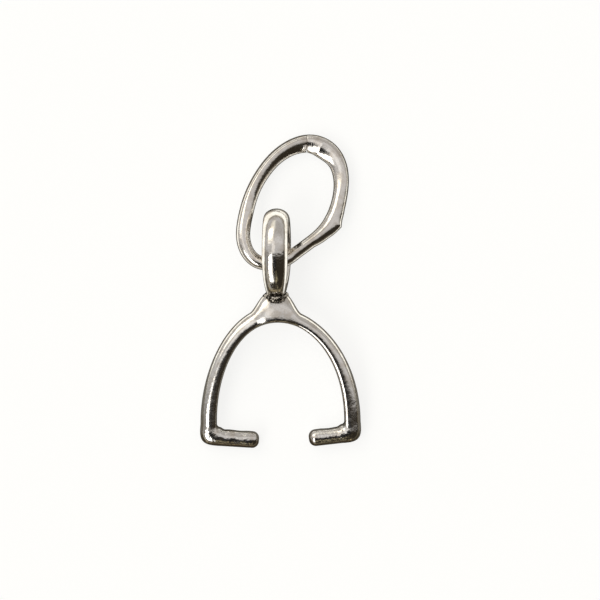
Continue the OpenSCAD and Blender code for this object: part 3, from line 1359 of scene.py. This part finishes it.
@dataclass
class Studio:
    """Table, surroundings and camera."""

    base: Colour = (0.5, 0.485, 0.475)
    cards: tuple[Card, ...] = (
        Card("right wall", 2.4, FAR, -FAR, FAR, 0.8, (0.36, 0.345, 0.32)),
        Card("dark front", -FAR, FAR, -FAR, -0.15, 0.07, (0.028, 0.023, 0.016)),
        Card("left front", -FAR, -1.6, -FAR, 0.0, 0.3, (0.30, 0.29, 0.28)),
        Card("upper grey", -0.1, 1.6, 0.12, 2.0, 0.12, (0.6, 0.58, 0.57)),
        Card("neck light", -0.44, -0.08, -0.1, 0.26, 0.1, (0.9, 0.88, 0.86)),
        Card("back grey", -0.3, 1.6, 0.5, 2.0, 0.12, (0.4, 0.38, 0.36)),
        Card("back light", -0.95, -0.1, 0.8, 2.4, 0.2, (0.9, 0.87, 0.78)),
        Card("upper light", -1.5, -0.36, 0.34, 1.1, 0.2, (2.0, 1.92, 1.72)),
        Card("long light", -1.2, -0.42, -1.8, -0.14, 0.07, (3.2, 3.17, 3.08), 0.2),
        Card("camera", -0.36, 0.12, -0.95, -0.2, 0.09, (0.008, 0.008, 0.009)),
    )
    glint: Colour = (0.62, 0.54, 0.34)
    glint_rate: float = 4.0
    glint_edge: Pair = (0.57, 0.63)
    glint_front: Pair = (-0.5, -1.1)
    glint_right: Pair = (0.1, 0.5)
    rim: Colour = (0.2, 0.175, 0.125)
    rim_front: Colour = (0.62, 0.49, 0.28)
    rim_height: float = 6.0
    rim_blur: float = 0.4
    patch_rate: float = 5.0
    patch_edge: Pair = (0.45, 0.6)
    patch_front: Pair = (-0.75, -0.9)
    backdrop: Colour = (1.0, 1.0, 0.99)
    backdrop_strength: float = 1.2
    table_colour: Colour = (0.27, 0.27, 0.26)
    table_seen: Colour = (0.83, 0.83, 0.822)
    # Painted light and shade on the table as the metal mirrors it: a dim glow at the back, darker to the
    # front, darkest under and beside the metal, and bright where the mirrored ray is long.
    painted_far_glow: Colour = (1.2, 1.18, 1.1)
    painted_mirror_back: Colour = (0.16, 0.15, 0.13)
    painted_front_shade: Colour = (0.05, 0.04, 0.025)
    painted_contact_shade: Colour = (0.045, 0.04, 0.03)
    front_shade_fade: Pair = (-8.6, -6.5)
    contact_shade_fade: Pair = (0.7, 1.0)
    contact_shade_reach: float = 1.0
    far_glow_ray: Pair = (2.3, 3.9)
    far_glow_fade: Pair = (-4.5, -1.0)
    table_size: float = 3.0
    view_middle: Pair = (0.995, -0.45)
    view_width: float = 30.77
    view_height: float = 500.0
    sensor: float = 36.0

    def light(self) -> None:
        """Fills the world with the soft lights and the cards."""
        world = bpy.data.worlds.new("studio")
        bpy.context.scene.world = world
        world.use_nodes = True
        world.node_tree.nodes.clear()
        make = TreeMaker(world.node_tree)
        way = make.node("ShaderNodeTexCoord").outputs["Generated"]
        axes = make.node("ShaderNodeSeparateXYZ", {"Vector": way}).outputs
        above = make.math("MAXIMUM", axes["Z"], 1 / FAR)
        over_x = make.math("DIVIDE", axes["X"], above)
        over_y = make.math("DIVIDE", axes["Y"], above)
        colour: Feed = self.base
        for card in self.cards:
            from_right = make.math("SUBTRACT", over_x, card.right)
            back = make.math("MULTIPLY_ADD", from_right, -card.slant, over_y)
            mask: Feed = 1.0
            for place, side, inwards in (
                (over_x, card.left, 1),
                (over_x, card.right, -1),
                (over_y, card.front, 1),
                (back, card.back, -1),
            ):
                reach = inwards * card.edge
                mask = make.times(mask, make.ramp(place, side - reach, side + reach))
            colour = make.blend(mask, colour, card.colour)
        glints = make.ramp(make.noise(way, self.glint_rate), *self.glint_edge)
        glints = make.times(glints, make.ramp(over_y, *self.glint_front))
        glints = make.times(glints, make.ramp(over_x, *self.glint_right, 1.0, 0.0))
        colour = make.blend(glints, colour, self.glint)
        patches = make.ramp(make.noise(way, self.patch_rate), *self.patch_edge)
        front = make.times(patches, make.ramp(axes["Y"], *self.patch_front))
        rim = make.blend(front, self.rim, self.rim_front)
        low = math.sin(math.radians(self.rim_height))
        near_rim = make.ramp(axes["Z"], low * (1 - self.rim_blur), low * (1 + self.rim_blur), 1.0, 0.0)
        colour = make.blend(near_rim, colour, rim)
        around = make.node("ShaderNodeBackground", {"Color": colour})
        seen = make.node(
            "ShaderNodeBackground", {"Color": (*self.backdrop, 1), "Strength": self.backdrop_strength}
        )
        is_camera = make.node("ShaderNodeLightPath").outputs["Is Camera Ray"]
        both = make.node("ShaderNodeMixShader", {0: is_camera, 1: around.outputs[0], 2: seen.outputs[0]})
        make.node("ShaderNodeOutputWorld", {"Surface": both.outputs[0]})

    def table(self) -> Object:
        """Lays a plain pale table under the bail.

        What the metal mirrors of it is not a lit table but painted light and shade: a dim glow, painted
        shade near the metal and towards the front, and a painted bright glow where the mirrored ray is long.

        Returns:
            The table.
        """
        half = self.table_size / 2
        corners = [(-half, -half, 0), (half, -half, 0), (half, half, 0), (-half, half, 0)]
        mesh = bpy.data.meshes.new("table")
        mesh.from_pydata(corners, [], [(0, 1, 2, 3)])
        material, make = new_material("pale_table")
        ray = make.node("ShaderNodeLightPath").outputs
        is_camera = ray["Is Camera Ray"]
        length = make.math("DIVIDE", ray["Ray Length"], MM)
        along = make.node("ShaderNodeSeparateXYZ", {"Vector": make.millimetres()}).outputs["Y"]
        # Painted shade: the mirrored table grows darker towards the front.
        front = make.ramp(along, *self.front_shade_fade)
        painted_mirror = make.blend(front, self.painted_front_shade, self.painted_mirror_back)
        # Painted shade under and beside the metal, read from its occlusion.
        near = {"Distance": self.contact_shade_reach * MM}
        open_sky = make.node("ShaderNodeAmbientOcclusion", near, samples=8).outputs["AO"]
        contact_shade = make.ramp(open_sky, *self.contact_shade_fade)
        painted_mirror = make.blend(contact_shade, self.painted_contact_shade, painted_mirror)
        # Painted glow where the mirrored ray is long and away from the front.
        far = make.times(make.ramp(length, *self.far_glow_ray), make.ramp(along, *self.far_glow_fade))
        painted_mirror = make.blend(far, painted_mirror, self.painted_far_glow)
        paper = make.node(
            "ShaderNodeBsdfPrincipled",
            {
                "Base Color": make.blend(is_camera, (0, 0, 0), self.table_colour),
                "Roughness": 0.9,
                "Specular IOR Level": 0.0,
                # Mirrored rays get the painted light and shade as emission; the camera sees the even pale
                # table.
                "Emission Color": make.blend(is_camera, painted_mirror, self.table_seen),
                "Emission Strength": 1.0,
            },
        )
        make.node("ShaderNodeOutputMaterial", {"Surface": paper.outputs["BSDF"]})
        mesh.materials.append(material)
        return new_object("table", mesh)

    def camera(self) -> None:
        """Sets the camera straight above, as in the photograph."""
        data = bpy.data.cameras.new("camera")
        data.sensor_width = self.sensor
        data.lens = self.sensor * self.view_height / self.view_width
        data.clip_start, data.clip_end = 0.01, 10.0
        eye = new_object("camera", data)
        eye.location = Vector((*self.view_middle, self.view_height)) * MM
        bpy.context.scene.camera = eye

    def colours(self) -> None:
        """Keeps whites white, with no film curve."""
        view = bpy.context.scene.view_settings
        view.view_transform = "Standard"
        view.look = "None"


def settle(piece: Object, node: str) -> None:
    """Rides a piece on the body and lets it stand for its CAD node.

    Args:
        piece: The finished piece.
        node: The node that it replaces.
    """
    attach(piece, "root")
    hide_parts(node)
    LOG.info("%s: %d faces", piece.name, len(piece.data.polygons))


def main() -> None:
    """Builds the bail, the ring and the studio."""
    logging.basicConfig(level=logging.INFO, format="%(name)s: %(message)s")
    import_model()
    effects = Effects()
    polished = SilverFinish(
        name="polished_silver",
        tint=(0.93, 0.91, 0.875),
        film=(0.62, 0.53, 0.43),
        film_share=0.5,
        roughness=0.14,
        wave=0.008,
        wave_size=0.75,
        grain=0.0022,
        grain_size=0.065,
        foot_marks=0.028,
    ).material(effects)
    drawn = SilverFinish(
        name="drawn_silver",
        tint=(0.93, 0.90, 0.86),
        film=(0.64, 0.55, 0.45),
        film_share=0.5,
        roughness=0.15,
        wave=0.006,
        wave_size=0.7,
        grain=0.0024,
        grain_size=0.06,
        plier_marks=0.03,
    ).material(effects)
    solder = SolderFinish(
        name="oxidised_solder",
        bright=(0.6, 0.56, 0.5),
        dark=(0.018, 0.014, 0.01),
        pit=0.025,
        pit_size=0.09,
    ).material()
    skins = SkinTree()
    lie = Lie().matrix()
    stirrup, eye, bead, ring = Stirrup(), Eye(), Solder(), JumpRing()
    settle(stirrup.build(skins, lie, polished), "pinch_bail")
    settle(eye.build(skins, lie @ eye.on_neck(stirrup), polished), "pinch_bail")
    settle(bead.build(lie @ stirrup.over_neck(-bead.below_top), solder), "pinch_bail")
    settle(ring.build(skins, Matrix(), drawn), "jump_ring")
    studio = Studio()
    studio.table()
    studio.light()
    studio.camera()
    studio.colours()


if __name__ == "__main__":
    main()
